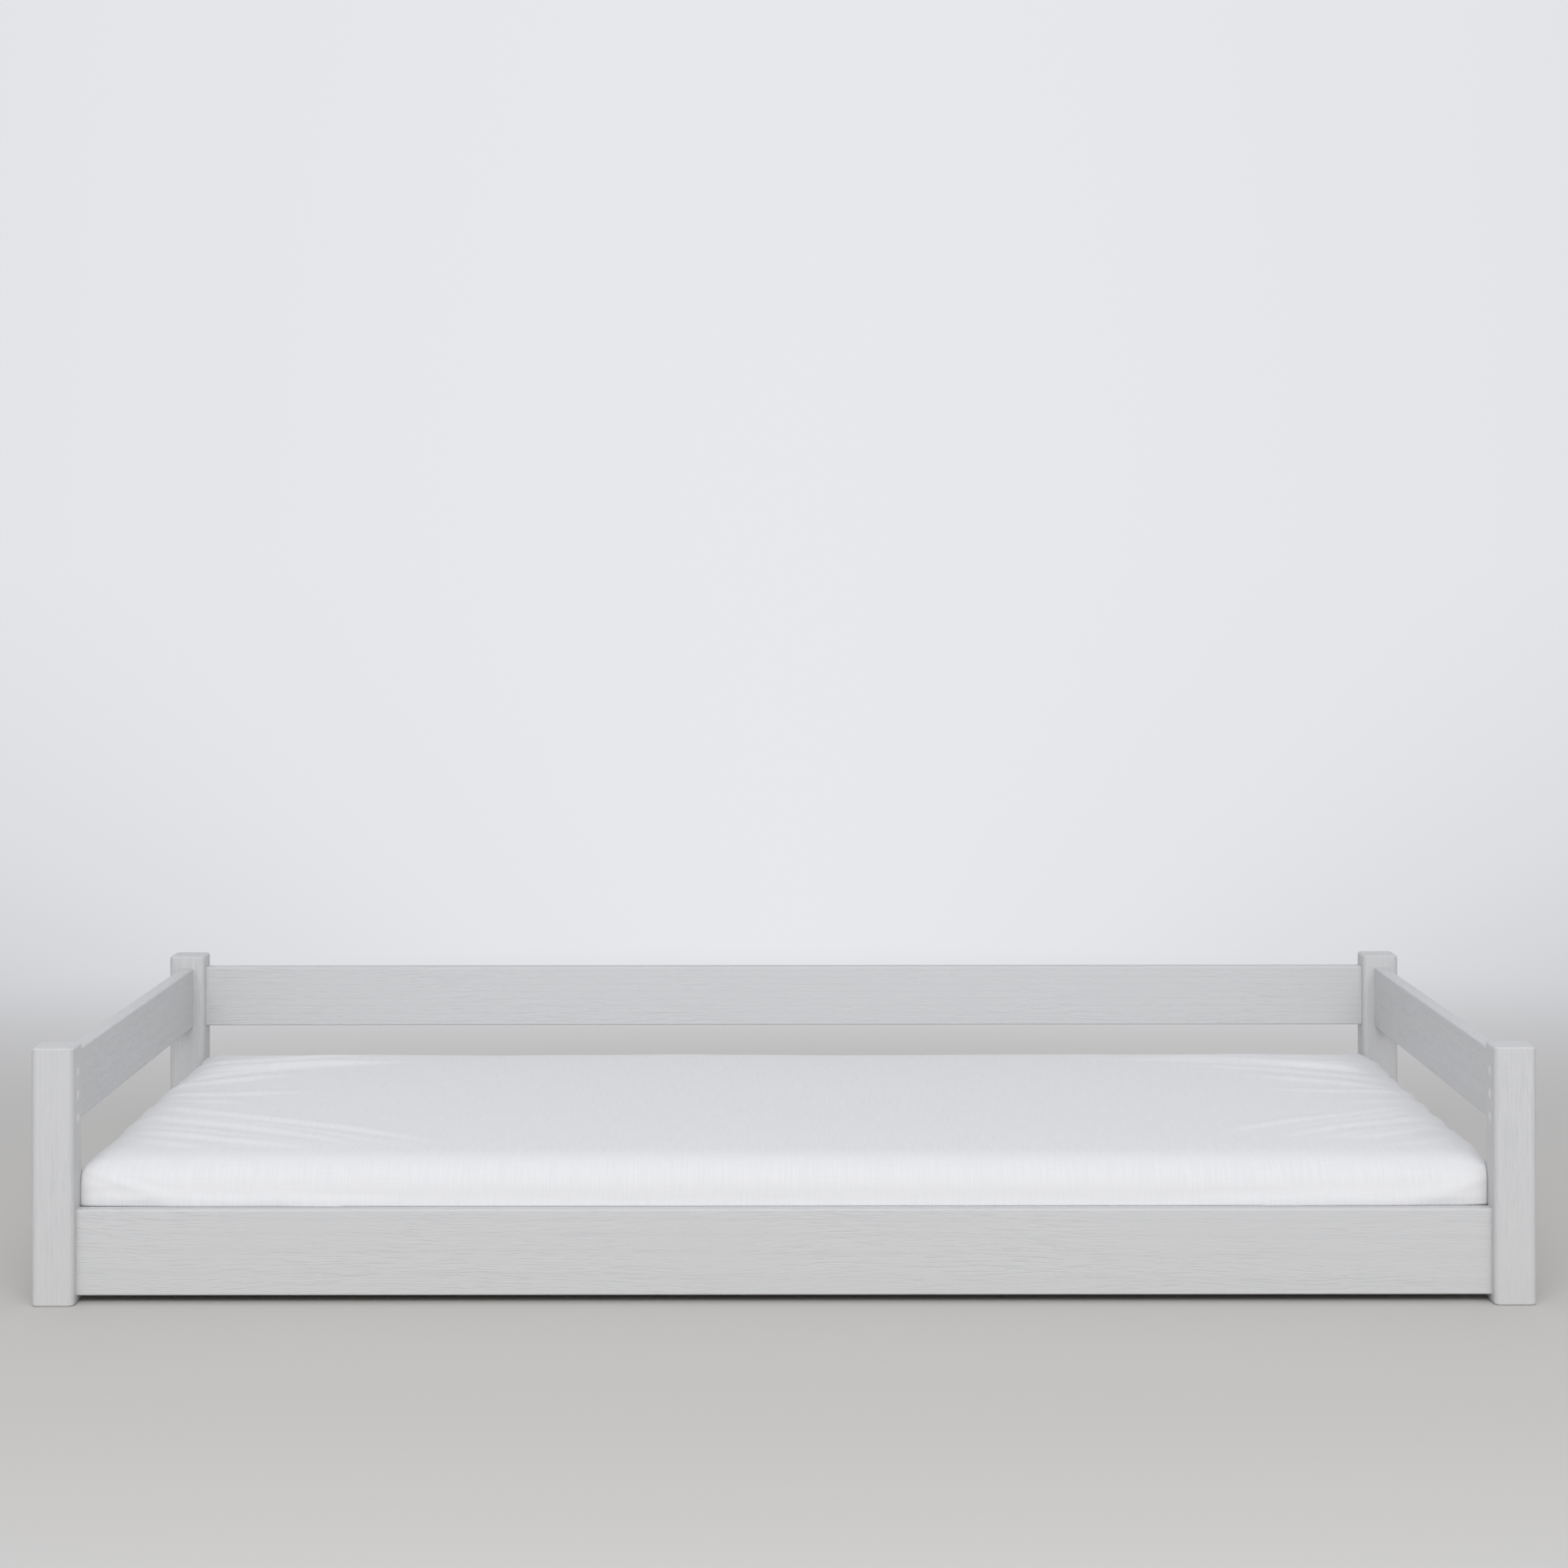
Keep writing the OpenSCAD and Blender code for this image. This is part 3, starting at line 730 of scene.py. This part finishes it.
def bulge_walls(sheet, block):
    """Pushes the long walls out over the side boards' tops, as soft foam does, and the right end out.

    The row of points nearest to the boards' tops is moved level with them, and the row below it is
    tucked in behind the boards, so that the bulge ends in a crisp step.
    """
    _, board_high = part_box("front_side_board")
    post_low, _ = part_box("rear_right_post")
    points = get_points(sheet.data)
    ledge = board_high[2] + BOARD_GAP
    rise = (points[:, 2] - ledge) / (block.step[2] / 2**SHEET_LEVELS)
    above = rise > 0.5
    below = rise < -0.5
    right_under = below & (rise >= -1.5)
    unpinned = np.clip((points[:, 2] - block.z0) / PINNED_HEIGHT, 0, 1)
    out = np.where(below, SQUEEZE * unpinned, SPILL)
    out = np.where(right_under, TUCK, out)
    share = np.clip((np.abs(points[:, 1] - block.centre[1]) - block.half[1] + TOP_R) / TOP_R, 0, 1)
    points[:, 1] += np.sign(points[:, 1]) * out * share

    between = np.clip((post_low[1] - np.abs(points[:, 1])) / POST_STRETCH, 0, 1)
    at_end = np.clip((points[:, 0] - block.centre[0] - block.half[0] + TOP_R) / TOP_R, 0, 1)
    points[:, 0] += END_SPILL * at_end * np.sin(between * math.pi / 2) * above

    behind = -board_high[1] - BOARD_GAP
    points[:, 1] = np.where(below, np.clip(points[:, 1], -behind, behind), points[:, 1])
    wall = share > WALL_SHARE
    points[:, 2] = np.where(wall & ~above & ~below, ledge, points[:, 2])
    points[:, 2] = np.where(wall & right_under, ledge - BOARD_GAP, points[:, 2])
    set_points(sheet.data, points)


def meet_posts(sheet, block):
    """Fits the sheet's corners to the posts' inner faces: drawn towards them, but never into them."""
    low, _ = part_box("rear_right_post")
    points = get_points(sheet.data)
    inner = np.array([low[0], low[1]]) - POST_GAP
    side = np.sign(points[:, 0])
    into = np.abs(points[:, :2]) - inner
    near = np.clip(1 + into / POST_STRETCH, 0, 1)
    end_r = np.where(side < 0, *END_R)
    rounded = np.clip((points[:, 2] - (block.z1 - end_r)) / end_r, 0, 1)
    points[:, 0] += side * POST_DRAW * (near**2).prod(1) * (1 - rounded)
    limit = inner[0] + np.maximum(inner[1] - np.abs(points[:, 1]), 0)
    points[:, 0] = np.clip(points[:, 0], -limit, limit)
    set_points(sheet.data, points)


# ---- Mattress and fitted sheet ----

CORE_INSET = 0.0015
CORE_LEVELS = 1


def make_core():
    """The foam block in its knitted cover."""
    low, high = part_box("mattress_core")
    block = SoftBlock(low, high, CORE_INSET)
    core = block_mesh("mattress_pad", block, open_foot=False)
    subdivide(core, CORE_LEVELS)
    ticking = cloth_material("ticking", TICKING_LIGHT, TICKING_DARK, pitch=0.0014, slub_relief=0.8)
    core.data.materials.append(ticking)
    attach(core, "mattress")
    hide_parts("mattress_core")
    return core


def make_sheet(core):
    """The white fitted sheet, open under the mattress."""
    low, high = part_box("fitted_sheet")
    block = SoftBlock(low, high, 0.0)
    sheet = block_mesh("white_fitted_sheet", block, open_foot=True)
    settle_sheet(sheet, core, block)
    subdivide(sheet, SHEET_LEVELS)
    dress_sheet(sheet, block)
    rest_on_core(sheet, core)
    bulge_walls(sheet, block)
    meet_posts(sheet, block)
    cotton = cloth_material("white_cotton", COTTON_LIGHT, COTTON_DARK, pitch=0.0009, slub_relief=1.0)
    sheet.data.materials.append(cotton)
    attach(sheet, "mattress")
    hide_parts("fitted_sheet")


# ---- Floor and light ----

FLOOR_HALF = 90.0
FLOOR_COLOUR = (0.60, 0.585, 0.56, 1)
# The floor fades into the sky between these distances from the bed's middle
FADE_START = 0.9
FADE_END = 3.0
SKY_COLOUR = (0.955, 0.965, 1.0, 1)
SKY_STRENGTH = 0.84
# How much weaker the sky is along X, Y and Z than at its strongest
SKY_DIPS = (0.50, 0.0, 0.11)
SOFTBOX_BACK = 4.5
SOFTBOX_UP = 3.2
SOFTBOX_SIZE = (6.0, 2.0)
SOFTBOX_POWER = 132.0


def sky_tone(tree, direction):
    """The sky's strength in a direction: it is dimmer overhead and towards the bed's two ends."""
    squares = add(tree, "ShaderNodeVectorMath", {0: direction, 1: direction}, operation="MULTIPLY")
    dips = {0: squares.outputs[0], 1: SKY_DIPS}
    dip = add(tree, "ShaderNodeVectorMath", dips, operation="DOT_PRODUCT").outputs["Value"]
    return maths(tree, "SUBTRACT", SKY_STRENGTH, dip)


def make_floor():
    """A plain pale floor that fades into the sky, as a studio sweep does."""
    mesh = bpy.data.meshes.new("floor")
    signs = ((-1, -1), (1, -1), (1, 1), (-1, 1))
    mesh.from_pydata([(FLOOR_HALF * x, FLOOR_HALF * y, 0.0) for x, y in signs], [], [(0, 1, 2, 3)])
    floor = bpy.data.objects.new("floor", mesh)
    bpy.context.scene.collection.objects.link(floor)
    material, tree, shader = start_material("pale_floor")
    coordinates = object_coordinates(tree)
    length = add(tree, "ShaderNodeVectorMath", {0: coordinates}, operation="LENGTH").outputs["Value"]
    far = {0: length, 1: FADE_START, 2: FADE_END}
    far = add(tree, "ShaderNodeMapRange", far, interpolation_type="SMOOTHSTEP").outputs[0]
    fill(tree, shader, {"Base Color": FLOOR_COLOUR, "Roughness": 0.8})
    outwards = add(tree, "ShaderNodeVectorMath", {0: coordinates}, operation="NORMALIZE").outputs[0]
    glow = add(tree, "ShaderNodeEmission", {"Color": SKY_COLOUR, "Strength": sky_tone(tree, outwards)})
    mixed = add(tree, "ShaderNodeMixShader", {0: far, 1: shader.outputs[0], 2: glow.outputs[0]})
    tree.links.new(mixed.outputs[0], tree.nodes["Material Output"].inputs["Surface"])
    mesh.materials.append(material)


def make_light():
    """A soft sky all round, and a softbox above the front that is tilted down at the bed."""
    bpy.context.scene.view_settings.view_transform = "Standard"
    world = bpy.data.worlds.new("studio")
    world.use_nodes = True
    tree = world.node_tree
    direction = add(tree, "ShaderNodeTexCoord").outputs["Generated"]
    sky = {"Color": SKY_COLOUR, "Strength": sky_tone(tree, direction)}
    fill(tree, tree.nodes["Background"], sky)
    bpy.context.scene.world = world

    data = bpy.data.lights.new("softbox", "AREA")
    data.shape = "RECTANGLE"
    data.size, data.size_y = SOFTBOX_SIZE
    data.energy = SOFTBOX_POWER
    light = bpy.data.objects.new("softbox", data)
    light.location = (0.0, -SOFTBOX_BACK, SOFTBOX_UP)
    light.rotation_euler = (math.radians(90) - math.atan2(SOFTBOX_UP, SOFTBOX_BACK), 0.0, 0.0)
    bpy.context.scene.collection.objects.link(light)


make_camera()
make_floor()
make_light()
finish_woodwork_and_hardware()
mattress_pad = make_core()
make_sheet(mattress_pad)
